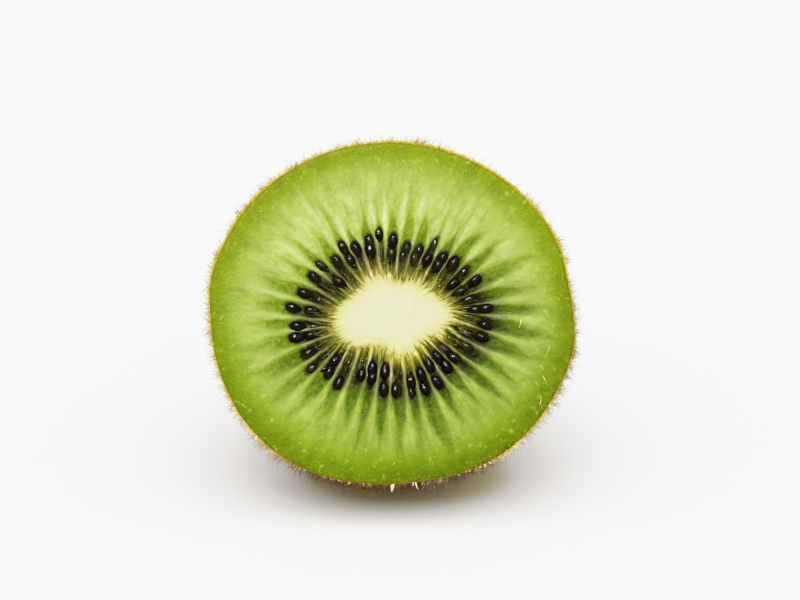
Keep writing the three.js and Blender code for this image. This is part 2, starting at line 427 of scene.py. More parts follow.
# %% [markdown]
# ## Node helpers
#
# Materials are graphs of nodes. These few helpers add a node, wire its inputs and hand back its output,
# so that a material reads from top to bottom like a recipe. A *span* is used most: it turns one range of a
# value into another, which says where on the fruit something starts, where it ends, and how strong it is.

# %% Helpers for materials
def linear(*on_screen):
    """A colour picked on screen, 0 to 255, as the linear light that shaders work in, by the sRGB rule."""
    light = (((c / 255 + 0.055) / 1.055) ** 2.4 if c > 10 else c / 3295 for c in on_screen)
    return (*light, 1.0)


class Recipe:
    """A material in the making, or any other node tree."""

    def __init__(self, name):
        self.material = bpy.data.materials.new(name)
        self.material.use_nodes = True
        self.tree = self.material.node_tree
        self.shader = next(n for n in self.tree.nodes if n.type == "BSDF_PRINCIPLED")

    def add(self, kind, inputs=None, **settings):
        made = self.tree.nodes.new(kind)
        for name, value in settings.items():
            setattr(made, name, value)
        for key, value in (inputs or {}).items():
            self.feed(made.inputs[key], value)
        return made

    def feed(self, socket, value):
        if isinstance(value, bpy.types.NodeSocket):
            self.tree.links.new(value, socket)
        else:
            socket.default_value = value

    def attribute(self, name, output="Fac"):
        return self.add("ShaderNodeAttribute", attribute_name=name).outputs[output]

    def object_coordinates(self):
        return self.add("ShaderNodeTexCoord").outputs["Object"]

    def axis(self, number):
        """How far a point is along the model's X, Y or Z, which are 0, 1 and 2."""
        return self.add("ShaderNodeSeparateXYZ", {0: self.object_coordinates()}).outputs[number]

    def maths(self, operation, a, b=0.0, c=0.0):
        return self.add("ShaderNodeMath", {0: a, 1: b, 2: c}, operation=operation).outputs[0]

    def times(self, first, *others):
        for other in others:
            first = self.maths("MULTIPLY", first, other)
        return first

    def times_plus(self, value, factor, added):
        return self.maths("MULTIPLY_ADD", value, factor, added)

    def plus(self, a, b):
        return self.maths("ADD", a, b)

    def vectors(self, operation, a, b=(0.0, 0.0, 0.0)):
        """The vector and the number that a sum with vectors gives."""
        return self.add("ShaderNodeVectorMath", {0: a, 1: b}, operation=operation).outputs

    def span(self, value, start, end, low=0.0, high=1.0):
        """Maps a value smoothly from one range to another and holds it there."""
        inputs = {"Value": value, "From Min": start, "From Max": end, "To Min": low, "To Max": high}
        return self.add("ShaderNodeMapRange", inputs, interpolation_type="SMOOTHSTEP").outputs[0]

    def noise(self, where, scale, detail=2.0, roughness=0.5):
        inputs = {"Vector": where, "Scale": scale, "Detail": detail, "Roughness": roughness}
        return self.add("ShaderNodeTexNoise", inputs).outputs["Fac"]

    def ramp(self, value, stops):
        made = self.add("ShaderNodeValToRGB", {"Fac": value})
        elements = made.color_ramp.elements
        while len(elements) < len(stops):
            elements.new(0.5)
        for element, (position, colour) in zip(elements, stops):
            element.position = position
            element.color = linear(*colour)
        return made.outputs["Color"]

    def mix(self, share, a, b, blend="MIX"):
        inputs = {0: share, 6: a, 7: b}
        return self.add("ShaderNodeMix", inputs, data_type="RGBA", blend_type=blend).outputs[2]

    def bump(self, height, distance, strength=1.0, normal=None):
        inputs = {"Height": height, "Distance": distance, "Strength": strength}
        if normal is not None:
            inputs["Normal"] = normal
        return self.add("ShaderNodeBump", inputs).outputs[0]

    def finish(self, **sockets):
        for name, value in sockets.items():
            self.feed(self.shader.inputs[name.replace("_", " ")], value)
        print(f"material {self.material.name}: {len(self.tree.nodes)} nodes")
        return self.material

# %% [markdown]
# ## The flesh
#
# The flesh is one body: the cut face, the hollow that holds the heart, and the round side that the skin
# covers. The face gets a fine net, because its chambers and fibres are only tenths of a millimetre wide.
# Each point stores how far it lies beyond the heart, how deep it is in a chamber and how close it is to a
# wall, and the material paints by those numbers.

# %% Model the flesh
COLUMNS_PER_LOCULE = 14
FACE_RINGS = 84
UNDER_SKIN_RINGS = 12
HOLLOW_DEPTHS = (1, 9, 18, 26)
SKIN_THICKNESS = 0.22
LIP_THICKNESS = 0.08
FLESH_DEPTH = DEPTH - 2 * SKIN_THICKNESS
FACE_EDGE_DROP = 0.1


def spread_columns(per_locule):
    """Spokes of the columns of points: evenly spread in each chamber, with one on each wall."""
    steps = np.arange(per_locule) / per_locule
    return np.concatenate([walls[k] + steps * (walls[k + 1] - walls[k]) for k in range(LOCULES)])


def face_ring(share):
    def give(spoke):
        angle = spoke_angle(spoke, share * room_at(spoke))
        inner = heart_radius(angle) + HEART_GAP
        outer = skin_radius(angle) - 0.7 * LIP_THICKNESS
        radius = inner + share * (outer - inner)
        return angle, radius, face_height(spoke, angle, radius) - FACE_EDGE_DROP * smooth_step(share, 0.98, 1)
    return give


def under_skin_ring(depth):
    def give(spoke):
        angle = spoke_angle(spoke, room_at(spoke))
        return angle, (skin_radius(angle) - SKIN_THICKNESS) * fullness_at(depth, FLESH_DEPTH), -depth
    return give


def hollow_ring(depth, grow):
    def give(spoke):
        angle = spoke_angle(spoke, 0)
        return angle, heart_radius(angle) * heart_taper(depth) + grow, -depth
    return give


def dome_depths(count, whole):
    """Depths of rings on a dome, ever closer together towards its end."""
    return [whole * math.sin(step / (count + 1) * math.pi / 2) for step in range(1, count + 1)]


flesh_rings = [on_axis(FLESH_DEPTH)]
flesh_rings += [under_skin_ring(depth) for depth in reversed(dome_depths(UNDER_SKIN_RINGS, FLESH_DEPTH))]
flesh_rings += [under_skin_ring(0.5)]
flesh_rings += [face_ring(step / FACE_RINGS) for step in range(FACE_RINGS, -1, -1)]
flesh_rings += [hollow_ring(depth, HEART_GAP) for depth in (*HOLLOW_DEPTHS, HEART_LENGTH)]
flesh_rings += [on_axis(HEART_LENGTH + HEART_GAP)]

flesh, flesh_spokes = ring_body("kiwi_flesh", flesh_rings, spread_columns(COLUMNS_PER_LOCULE))

# %% [markdown]
# ## Numbers to paint by
#
# No two sides of a cut are alike: one has fainter walls, one was torn by the knife, and painted shade
# and painted light differ from side to side. Such slow changes round the fruit are given as a few numbers,
# one for every 45 degrees from the right and anticlockwise, and are stored on the points with the place of
# each point in its chamber.

# %% Tell each point of the cut where it is
FAR_FROM_SEEDS = 9.0
EIGHTHS = np.arange(0, 361, 45)
# The first row is painted shade, deepest on the side away from the light, the second painted light in the
# pulp near the heart; faint walls and torn skin are the fruit's own.
AROUND = {
    "painted_shade": (1.8, 0.4, -0.3, -0.2, 0.4, 0.9, 1.3, 1.6, 1.8),
    "painted_glow": (0.6, 0.5, 0.5, 0.3, -0.2, 0.7, 1.5, 1.1, 0.6),
    "faint": (0.9, 0.7, 0, 0, 0.2, 0.1, 0.1, 0.6, 0.9),
    "torn": (0.1, 0, 0, 0, 0.1, 0.4, 0.3, 1, 0.1),
}


def gap_to_seeds(across, rise):
    """How many mm there are from a place to the outline of the nearest seed. Less than 0 is inside it."""
    gap = np.full(len(across), FAR_FROM_SEEDS)
    for seed in seeds:
        x, y = across - seed["across"], rise - seed["rise"]
        ahead, aside = math.cos(seed["direction"]), math.sin(seed["direction"])
        along = (x * ahead + y * aside) / SEED_SIZE[0]
        beside = (y * ahead - x * aside) / SEED_SIZE[1]
        gap = np.minimum(gap, (2 * np.hypot(along, beside) - 1) * SEED_SIZE[1] / 2)
    return gap


def mark_cut(piece, spokes):
    """Stores, for each point, the numbers that the materials of the cut face paint by."""
    place = vertex_table(piece.data)
    angle = np.arctan2(place[:, 1], place[:, 0])
    radius = np.hypot(place[:, 0], place[:, 1])
    beyond = radius - heart_radius(angle)
    k, across = chamber_of(spokes)
    side = np.minimum(across, 1 - across)
    set_attribute(piece, "beyond", beyond)
    set_attribute(piece, "share", beyond / room_at(angle))
    set_attribute(piece, "inside", np.maximum(chamber_inside(spokes, beyond), -3))
    set_attribute(piece, "to_wall", side * (walls[k + 1] - walls[k]) * radius)
    set_attribute(piece, "ray", np.where(across < 0.5, rays[k], rays[k + 1]))
    set_attribute(piece, "tone", tones[k] * 2 * side)
    set_attribute(piece, "grain", np.stack([np.cos(spokes) * 12, np.sin(spokes) * 12, beyond * 0.3], 1))
    set_attribute(piece, "seed_gap", gap_to_seeds(place[:, 0], place[:, 1]))
    for name, around in AROUND.items():
        set_attribute(piece, name, np.interp(np.degrees(angle) % 360, EIGHTHS, around))


mark_cut(flesh, flesh_spokes)
settle(flesh, "flesh")

# %% [markdown]
# ## The heart
#
# The heart is the pale, firm column that the seeds once hung from. It runs through the fruit and narrows
# towards the stem. Its edge isn't a clean line: fine pale fibres reach out into the flesh. So both pieces
# share one recipe for the colours round the edge, which bends the edge with a noise that runs along the
# fibres, and the joint between the two meshes can't be seen.

# %% Model the heart
HEART_RINGS = 26
HEART_CLEARANCE = 0.02
OVERLAP = 0.08
HEART_EDGE_DROP = 0.012


def heart_face_ring(share):
    def give(spoke):
        angle = spoke_angle(spoke, 0)
        radius = share * (heart_radius(angle) + HEART_GAP + OVERLAP)
        drop = HEART_EDGE_DROP * smooth_step(share, 0.95, 0.98)
        return angle, radius, face_height(spoke, angle, radius) - drop
    return give


heart_depths = (*HOLLOW_DEPTHS, HEART_LENGTH - 0.3)
heart_rings = [on_axis(HEART_LENGTH)]
heart_rings += [hollow_ring(depth, HEART_GAP - HEART_CLEARANCE) for depth in reversed(heart_depths)]
heart_rings += [heart_face_ring(step / HEART_RINGS) for step in range(HEART_RINGS, 0, -1)]
heart_rings += [on_axis(0)]

heart, heart_spokes = ring_body("kiwi_heart", heart_rings, spread_columns(COLUMNS_PER_LOCULE))
mark_cut(heart, heart_spokes)
settle(heart, "heart")

# %% [markdown]
# ## Colours of the cut
#
# Two ramps run outwards from the heart: one for the walls and the plain flesh, one for the chambers. The
# chamber mask chooses between them. Fibre noise, stretched along the spokes, breaks both up. Real flesh
# lets light in, so a part of it is scattered under the surface. Its shine is weak and broken up by fine
# bumps: a stronger one would lay a white haze over the greens.

# %% Colours from the heart outwards
HEART_EDGE_WIDTH = 4.8
EDGE_WANDER = 4.8
HEART_EDGE = (
    (0.0, (238, 234, 190)), (0.2, (236, 232, 178)), (0.4, (230, 225, 158)), (0.49, (218, 212, 130)),
    (0.56, (188, 183, 92)), (0.63, (146, 141, 52)), (0.78, (116, 112, 34)), (1.0, (98, 95, 26)),
)
PLAIN_COLOURS = (
    (0.0, (150, 146, 62)), (0.12, (146, 148, 70)), (0.25, (158, 170, 88)), (0.35, (178, 196, 100)),
    (0.5, (189, 207, 110)), (0.6, (194, 210, 117)), (0.7, (187, 204, 106)), (0.8, (171, 192, 84)),
    (0.86, (158, 180, 64)), (0.9, (147, 168, 44)), (0.95, (141, 160, 20)), (1.0, (150, 158, 14)),
)
CHAMBER_COLOURS = (
    (0.0, (174, 168, 80)), (0.04, (128, 123, 40)), (0.08, (102, 97, 26)), (0.12, (82, 80, 20)),
    (0.18, (60, 57, 17)), (0.23, (52, 50, 15)), (0.26, (72, 75, 18)), (0.29, (98, 109, 26)),
    (0.33, (122, 143, 32)), (0.47, (140, 165, 50)), (0.6, (164, 190, 64)),
)
WALL_COLOURS = (
    (0.0, (228, 224, 156)), (0.04, (216, 212, 128)), (0.08, (192, 188, 110)), (0.12, (164, 162, 100)),
    (0.17, (150, 150, 104)), (0.23, (152, 157, 100)), (0.28, (168, 181, 102)), (0.32, (192, 207, 112)),
    (0.4, (200, 216, 114)), (0.5, (216, 227, 152)), (1.0, (220, 230, 164)),
)
# painted shade: tints that darken the lower half of the cut and, more, its lower rim
LOWER_SHADE_TINT = (0.73, 0.81, 0.5, 1.0)
LOWER_RIM_SHADE_TINT = (0.68, 0.76, 0.16, 1.0)

# %% Light, shade and fibres
def lighten(recipe, colour, light):
    """Multiplies a colour by a number."""
    grey = recipe.add("ShaderNodeCombineColor", {0: light, 1: light, 2: light}).outputs[0]
    return recipe.mix(1.0, colour, grey, "MULTIPLY")


def shade(recipe, colour, light):
    """Multiplies as light does in clear pulp: where it is darker it is also a richer green."""
    green, blue = recipe.maths("POWER", light, 0.88), recipe.maths("POWER", light, 1.8)
    tinted = recipe.add("ShaderNodeCombineColor", {0: light, 1: green, 2: blue}).outputs[0]
    return recipe.mix(1.0, colour, tinted, "MULTIPLY")


def along_fibres(recipe, stretch, scale, detail=3.0, roughness=0.6):
    """Noise that is drawn out along the spokes, from about -0.5 to 0.5."""
    drawn_out = recipe.vectors("MULTIPLY", recipe.attribute("grain", "Vector"), (1.0, 1.0, stretch))[0]
    return recipe.maths("SUBTRACT", recipe.noise(drawn_out, scale, detail, roughness), 0.5)

# %% What the flesh and the heart share
def heart_edge_colour(recipe):
    """Cream inside the heart, then yellow, then olive. The edge wanders from fibre to fibre."""
    further_left = recipe.span(recipe.axis(0), -0.002, -0.009, 0.0, 0.3)
    edge = recipe.plus(recipe.attribute("beyond"), further_left)
    edge = recipe.times_plus(along_fibres(recipe, 0.5, 1.6, 4.0, 0.7), EDGE_WANDER, edge)
    return recipe.ramp(recipe.times_plus(edge, 1 / HEART_EDGE_WIDTH, 0.5), HEART_EDGE), edge


def cut_shine(recipe):
    """Fine bumps of the moist surface, and how rough it is."""
    where = recipe.object_coordinates()
    pulp = recipe.noise(where, 2600, 3.0, 0.6)
    drops = recipe.noise(where, 900)
    return recipe.bump(recipe.plus(pulp, drops), 0.0001), recipe.span(drops, 0.3, 0.7, 0.26, 0.46)

# %% What all paint of the flesh reads
class CutRecipe(Recipe):
    """The recipe of the flesh, with the numbers that all its layers of paint read."""

    def __init__(self, name):
        super().__init__(name)
        self.where = self.object_coordinates()
        self.share = self.attribute("share")
        self.inside = self.attribute("inside")
        self.painted_shade = self.attribute("painted_shade")
        self.fibre = along_fibres(self, 1.0, 3.4, 4.0, 0.62)
        self.mottle = self.maths("SUBTRACT", self.noise(self.where, 1500, 3.0, 0.6), 0.5)

    def by_share(self, start, end, low=0.0, high=1.0):
        """Changes between two shares of the way from the heart to the skin."""
        return self.span(self.share, start, end, low, high)

# %% Paint of the chambers
def chambers(recipe):
    """The colour of the plain flesh with the chambers in it, and how far a point is in a chamber."""
    inside = recipe.times_plus(recipe.fibre, recipe.by_share(0.35, 0.55, 1.0, 1.9), recipe.inside)
    inside = recipe.times_plus(recipe.mottle, 0.9, inside)
    soft = recipe.by_share(0.25, 0.55, 0.14, 0.6)
    mask = recipe.span(inside, recipe.times(soft, -1.0), soft)
    mask = recipe.times(mask, recipe.by_share(0.4, 0.64, 1.0, 0.8))
    # painted shade: on the side away from the light the chambers are painted darker and their dark reaches
    # further out
    lag = recipe.times(recipe.times_plus(recipe.painted_shade, -0.065, 0.03), recipe.by_share(0.12, 0.25))
    shifted = recipe.times_plus(recipe.attribute("tone"), 0.03, recipe.plus(recipe.share, lag))
    dim = recipe.times_plus(recipe.times(recipe.painted_shade, recipe.by_share(0.3, 0.4)), -0.22, 1.0)
    deep = lighten(recipe, recipe.ramp(shifted, CHAMBER_COLOURS), dim)
    return recipe.mix(mask, recipe.ramp(recipe.share, PLAIN_COLOURS), deep), mask


def jelly_round_seeds(recipe, colour):
    """The clear jelly close to a seed is nearly as dark as the seed."""
    gap = recipe.times_plus(recipe.fibre, 0.7, recipe.attribute("seed_gap"))
    jelly = recipe.mix(recipe.span(recipe.mottle, -0.15, 0.2), linear(36, 32, 11), linear(62, 62, 18))
    return recipe.mix(recipe.span(gap, 0.42, 0.0, 0.0, 0.8), colour, jelly)


def chamber_tails(recipe):
    """The green of the chambers goes on outwards past their points, and fades."""
    tail = recipe.span(recipe.times_plus(recipe.fibre, 3.0, recipe.inside), -1.3, 0.6)
    tail = recipe.times(tail, recipe.by_share(0.45, 0.56), recipe.by_share(0.88, 0.62))
    # painted shade: the tails are painted darker on the side away from the light
    return recipe.times_plus(tail, recipe.times_plus(recipe.painted_shade, -0.04, -0.08), 1.0)

# %% Paint of the walls
def wall_mask(recipe):
    """The walls between the chambers, and the pale rays that lead on from some of them."""
    strength, to_wall = recipe.attribute("ray"), recipe.attribute("to_wall")
    width = recipe.times_plus(strength, 0.2, recipe.by_share(0.05, 0.3, 0.24, 0.6))
    wall = recipe.span(recipe.times_plus(recipe.fibre, 0.8, to_wall), width, -0.1)
    faint = recipe.times(recipe.attribute("faint"), recipe.by_share(0.36, 0.24), recipe.by_share(0.04, 0.12))
    wall = recipe.times(wall, recipe.by_share(0.5, 0.3), recipe.maths("SUBTRACT", 1.0, faint))
    ray = recipe.span(recipe.times_plus(recipe.fibre, 1.2, to_wall), 0.75, 0.0, 0.0, 0.9)
    way_along = recipe.maths("DIVIDE", recipe.share, recipe.times_plus(strength, 0.35, 0.55))
    ray = recipe.times(ray, recipe.by_share(0.26, 0.4), recipe.span(way_along, 1.0, 0.5))
    return recipe.maths("MAXIMUM", wall, ray)


def wall_paint(recipe):
    """Walls are pale. Near the seeds they get a painted highlight in patches, for their moist shine, and on
    the side away from the light painted shade.
    """
    # painted shade: walls painted darker on the side away from the light
    lag = recipe.times(recipe.painted_shade, recipe.by_share(0.2, 0.36), -0.1)
    colour = recipe.ramp(recipe.plus(recipe.share, lag), WALL_COLOURS)
    # painted highlight: whitish patches stand in for the glint of moist walls
    painted_wet_highlight = recipe.span(recipe.noise(recipe.where, 420), 0.54, 0.68, 0.0, 0.7)
    painted_wet_highlight = recipe.times(painted_wet_highlight, recipe.by_share(0.5, 0.3))
    return recipe.mix(painted_wet_highlight, colour, recipe.mix(0.5, colour, linear(226, 230, 206)))

# %% Light and shade in the pulp
def painted_lower_shade(recipe, colour):
    """Painted shade: the lower half of the cut is painted a deeper green, most of all along the skin, where
    less light reaches it.
    """
    lower = recipe.times(recipe.span(recipe.axis(2), 0.041, 0.007), recipe.by_share(0.15, 0.45))
    tint = recipe.mix(recipe.by_share(0.7, 0.92), LOWER_SHADE_TINT, LOWER_RIM_SHADE_TINT)
    return recipe.mix(lower, colour, recipe.mix(1.0, colour, tint, "MULTIPLY"))


def pulp_light(recipe, mask):
    """Streaks along the fibres, blotches and grains."""
    streaks = recipe.times_plus(recipe.fibre, recipe.by_share(0.8, 0.3, 0.35, 1.5), 1.0)
    stripes = recipe.times_plus(along_fibres(recipe, 0.4, 1.7), recipe.by_share(0.26, 0.1, 0.0, 4.4), 1.0)
    broad = recipe.times_plus(along_fibres(recipe, 0.5, 1.3, 2.0), recipe.by_share(0.9, 0.55, 0.4, 1.1), 1.0)
    blotches = recipe.times_plus(recipe.noise(recipe.where, 380, 3.0), 0.5, 0.75)
    grains = recipe.span(recipe.noise(recipe.where, 2600, 2.0, 0.6), 0.3, 0.7, 0.97, 1.03)
    mottles = recipe.times_plus(recipe.times(recipe.mottle, mask), recipe.by_share(0.12, 0.3, 0.5, 1.6), 1.0)
    return recipe.times(streaks, stripes, blotches, broad, grains, mottles)


def painted_light_near_heart(recipe, edge):
    """Painted light in the pulp near the heart, stronger on some sides, and painted shade far out on the side
    away from the light.
    """
    bright, plain = recipe.by_share(0.28, 0.16, 0.0, 0.5), recipe.by_share(0.28, 0.16, 1.0, 0.84)
    lit = recipe.times_plus(recipe.attribute("painted_glow"), bright, plain)
    lit = recipe.maths("MAXIMUM", lit, recipe.span(edge, 0.6, -0.2))
    far_side = recipe.times(recipe.span(recipe.painted_shade, 1.1, 1.5, 0.0, 0.08), recipe.by_share(0.5, 0.6))
    return recipe.times(recipe.maths("SUBTRACT", lit, far_side), 0.7)


def smears_and_tears(recipe, colour):
    """Pale smears of pulp on the outer flesh, and the brown and yellow edge where the knife tore the skin."""
    smears = recipe.span(recipe.noise(recipe.where, 1100, 3.0, 0.6), 0.58, 0.72, 0.0, 0.4)
    colour = recipe.mix(recipe.times(smears, recipe.by_share(0.5, 0.85)), colour, linear(188, 204, 104))
    torn = recipe.span(recipe.times_plus(recipe.mottle, 0.12, recipe.share), 0.96, 0.99, 0.0, 0.9)
    patches = recipe.span(recipe.noise(recipe.where, 2600), 0.4, 0.6)
    torn_colour = recipe.mix(patches, linear(76, 76, 12), linear(140, 124, 44))
    return recipe.mix(recipe.times(recipe.attribute("torn"), torn), colour, torn_colour)

# %% Material of the flesh
def flesh_material():
    recipe = CutRecipe("kiwi_flesh")
    colour, mask = chambers(recipe)
    colour = jelly_round_seeds(recipe, colour)
    colour = recipe.mix(wall_mask(recipe), colour, wall_paint(recipe))
    edge_colour, edge = heart_edge_colour(recipe)
    colour = recipe.mix(recipe.span(edge, 0.1, 1.7), edge_colour, colour)
    colour = painted_lower_shade(recipe, colour)
    colour = shade(recipe, colour, recipe.times(pulp_light(recipe, mask), chamber_tails(recipe)))
    colour = lighten(recipe, colour, painted_light_near_heart(recipe, edge))
    colour = smears_and_tears(recipe, colour)
    normal, roughness = cut_shine(recipe)
    return recipe.finish(
        Base_Color=colour, Roughness=roughness, Normal=normal, IOR=1.33, Specular_IOR_Level=0.07,
        Subsurface_Weight=0.12, Subsurface_Radius=(1.0, 1.0, 0.35), Subsurface_Scale=0.0003,
    )

# %% Material of the heart
def heart_material():
    recipe = Recipe("kiwi_heart")
    colour, edge = heart_edge_colour(recipe)
    light = recipe.span(recipe.noise(recipe.object_coordinates(), 500, 3.0), 0.3, 0.7, 0.722, 0.75)
    normal, roughness = cut_shine(recipe)
    return recipe.finish(
        Base_Color=lighten(recipe, colour, light), Roughness=roughness, Normal=normal, IOR=1.33,
        Specular_IOR_Level=0.09, Subsurface_Weight=0.2, Subsurface_Radius=(1.0, 0.9, 0.5),
        Subsurface_Scale=0.0008,
    )


flesh.data.materials.append(flesh_material())
heart.data.materials.append(heart_material())

# %% [markdown]
# ## Seeds
#
# A kiwi seed is a flat drop, about two and a half millimetres long, pointed at the end that hung from the
# heart. It is nearly black and shines because it is wet. A ball is drawn out, narrowed at one end and
# made a little lumpy; the fine pits of real seeds are left to the material. Pulp veils some of the seeds,
# most of all the sunk ones. All seeds become one piece, as they never move apart.

# %% Model the seeds
SEED_POINT = 0.35
SEED_SITS = -0.14
SUNK_SEED_SITS = -0.5
SEED_LUMPS = 0.09
SUNK_VEIL = 0.8


def add_seed(bm, seed):
    ball = bmesh.ops.create_uvsphere(bm, u_segments=16, v_segments=12, radius=0.5)["verts"]
    bmesh.ops.rotate(bm, verts=ball, matrix=Matrix.Rotation(math.pi / 2, 3, "Y"))
    for point in ball:
        narrow = 1 + SEED_POINT * point.co.x - SEED_POINT * max(0, -point.co.x) ** 2
        lumpy = 1 + SEED_LUMPS * noise.noise(point.co * 5 + Vector((seed["angle"] * 7, 0, 0)))
        point.co = Vector((point.co.x, point.co.y * narrow, point.co.z * narrow)) * lumpy
        point.co = Vector(a * b * seed["size"] for a, b in zip(point.co, SEED_SIZE))
    bmesh.ops.rotate(bm, verts=ball, matrix=Matrix.Rotation(seed["direction"], 3, "Z"))
    out = SUNK_SEED_SITS if seed["sunk"] else SEED_SITS
    bmesh.ops.translate(bm, verts=ball, vec=(seed["across"], seed["rise"], out))


def seed_veil(seed):
    """How much pulp veils a seed, more of it above the heart than below."""
    return SUNK_VEIL if seed["sunk"] else (0.5 + 0.5 * math.sin(seed["angle"])) * draw.next() ** 1.5


bm = bmesh.new()
for seed in seeds:
    add_seed(bm, seed)
smooth_faces(bm)
seed_piece = object_from(bm, "kiwi_seeds")
veils = np.array([seed_veil(seed) for seed in seeds])
set_attribute(seed_piece, "veil", np.repeat(veils, len(seed_piece.data.vertices) // len(seeds)))
settle(seed_piece, "flesh")

# %% Material of the seeds
def seed_material():
    recipe = Recipe("kiwi_seeds")
    where = recipe.object_coordinates()
    brown = recipe.span(recipe.noise(where, 700), 0.35, 0.75)
    colour = recipe.mix(brown, linear(12, 7, 7), linear(40, 18, 16))
    veil = recipe.times(recipe.attribute("veil"), recipe.span(recipe.noise(where, 900), 0.3, 0.65))
    colour = recipe.mix(veil, colour, linear(58, 58, 24))
    pits = recipe.noise(where, 3000)
    roughness = recipe.span(pits, 0.3, 0.7, 0.09, 0.26)
    return recipe.finish(
        Base_Color=colour, Roughness=roughness, Normal=recipe.bump(pits, 0.0001), IOR=1.42,
        Specular_IOR_Level=0.17,
    )


seed_piece.data.materials.append(seed_material())

# %% [markdown]
# ## Jelly
#
# Between the seeds the chambers hold a dark, clear jelly. Where the knife has opened it, it stands in small
# wet beads that catch the light. They are low, drawn-out balls, sunk more than half into the chambers.

# %% Model the beads of jelly
BEADS_PER_LOCULE = 5
BEAD_START = 5
BEAD_SIZE = (0.22, 0.65)
BEAD_SHAPE = (2.6, 1, 0.7)
BEAD_LUMPS = 0.4
BEAD_SITS = -0.02
BEAD_DISTANCE = (1.7, 5.6)


def add_bead(bm, angle, radius, height, random):
    size = random.uniform(*BEAD_SIZE)
    ball = bmesh.ops.create_uvsphere(bm, u_segments=10, v_segments=6, radius=0.5)["verts"]
    for point in ball:
        lumpy = 1 + BEAD_LUMPS * noise.noise(point.co * 2 + Vector((radius, angle * 9, 0)))
        point.co = Vector(a * b for a, b in zip(point.co, BEAD_SHAPE)) * size * lumpy
    bmesh.ops.rotate(bm, verts=ball, matrix=Matrix.Rotation(angle + random.uniform(-0.5, 0.2), 3, "Z"))
    across, rise = radius * math.cos(angle), radius * math.sin(angle)
    bmesh.ops.translate(bm, verts=ball, vec=(across, rise, height + BEAD_SITS))


bm = bmesh.new()
random = np.random.default_rng(BEAD_START)
bead_wall = np.repeat(np.arange(LOCULES), BEADS_PER_LOCULE)
bead_across = random.uniform(0.2, 0.8, len(bead_wall))
bead_spoke = walls[bead_wall] + (walls[bead_wall + 1] - walls[bead_wall]) * bead_across
bead_distance = random.uniform(*BEAD_DISTANCE, len(bead_wall))
bead_angle = spoke_angle(bead_spoke, bead_distance)
bead_radius = heart_radius(bead_angle) + bead_distance
for place in zip(bead_angle, bead_radius, face_height(bead_spoke, bead_angle, bead_radius)):
    add_bead(bm, *(float(value) for value in place), random)
smooth_faces(bm)
jelly = object_from(bm, "kiwi_jelly")
mark_cut(jelly, np.arctan2(*vertex_table(jelly.data)[:, 1::-1].T))
settle(jelly, "flesh")

# %% Material of the jelly
def jelly_material():
    recipe = Recipe("kiwi_jelly")
    cloud = recipe.noise(recipe.object_coordinates(), 1200)
    dark = recipe.mix(cloud, linear(16, 13, 6), linear(44, 40, 13))
    colour = recipe.mix(recipe.span(recipe.attribute("share"), 0.2, 0.06), dark, linear(92, 86, 20))
    roughness = recipe.span(cloud, 0.3, 0.7, 0.05, 0.14)
    return recipe.finish(Base_Color=colour, Roughness=roughness, IOR=1.36, Specular_IOR_Level=0.24)


jelly.data.materials.append(jelly_material())

# %% [markdown]
# ## Skin
#
# The skin is a thin brown shell round the flesh. Seen from the front it is only a golden-brown line
# at the cut, a little ragged where the knife tore it. From the side and from behind it is all there is, so
# it has its own low lumps, pale specks and the dry, ringed scar of the stem at the end. It is a body of
# rings again: down the outside, over the lip at the cut and up the inside.

# %% Rings of the skin
SKIN_COLUMNS = 480
SKIN_RINGS = 52
INNER_SKIN_RINGS = 14
SLOW_LUMPS = 0.16
QUICK_LUMPS = 0.05
RAGGED_AT = -42
SCAR_RADIUS = 3.1
SCAR_RINGS = ((0.25, 0.16), (0.5, 0.1), (0.66, 0.34), (0.8, 0.55), (0.92, 0.5), (1.04, 0.24), (1.2, 0.03))
SKIN_STARTS_AT = 1.35 * SCAR_RADIUS


def bumped(angle, radius, out):
    """A radius with the low lumps of the skin on it, in mm."""
    across, rise = radius * np.cos(angle), radius * np.sin(angle)
    slow = noise_of(across * 0.09, rise * 0.09, out * 0.09)
    quick = noise_of(across * 0.5, rise * 0.5, out * 0.5 + 7)
    return radius + SLOW_LUMPS * slow + QUICK_LUMPS * quick


def skin_ring(depth):
    def give(angle):
        return angle, bumped(angle, skin_radius(angle) * fullness_at(depth), -depth), -depth
    return give


def inner_skin_ring(depth):
    def give(angle):
        radius = (skin_radius(angle) - SKIN_THICKNESS + 0.03) * fullness_at(depth, DEPTH - SKIN_THICKNESS)
        return angle, bumped(angle, radius, -depth), -depth
    return give


def skin_lip_ring(radius_change, out):
    """The edge of the skin at the cut. It stands out most at the top, and is torn most along one stretch."""
    def give(angle):
        torn = noise_of(np.cos(angle) * 14, np.sin(angle) * 14, 3) * (1 + 1.6 * hump(angle, RAGGED_AT, 32))
        stands_out = 0.1 * np.clip(np.sin(angle + 0.4) + 0.35, 0, 1)
        radius = skin_radius(angle) + radius_change + 0.07 * torn + stands_out
        return angle, bumped(angle, radius, out), out + 0.14 * torn
    return give


def scar_ring(radius_share, height):
    nominal = SCAR_RADIUS * radius_share
    depth = DEPTH * (1 - (nominal / FACE_HALF_SIZE[0]) ** FULLNESS) ** (1 / FULLNESS)
    def give(angle):
        rough = noise_of(np.cos(angle) * 3 * radius_share, np.sin(angle) * 3 * radius_share, 5)
        return angle, nominal * (1 + 0.07 * rough), -(depth + height + 0.12 * rough)
    return give

# %% Spin the skin
outer_depths = [
    depth for depth in reversed(dome_depths(SKIN_RINGS, DEPTH))
    if fullness_at(depth) * FACE_HALF_SIZE[0] > SKIN_STARTS_AT
]
lip_rings = ((0, 0), (-0.3 * LIP_THICKNESS, 0.03), (-LIP_THICKNESS, 0))
inner_depths = [1.2] + dome_depths(INNER_SKIN_RINGS, DEPTH - SKIN_THICKNESS)

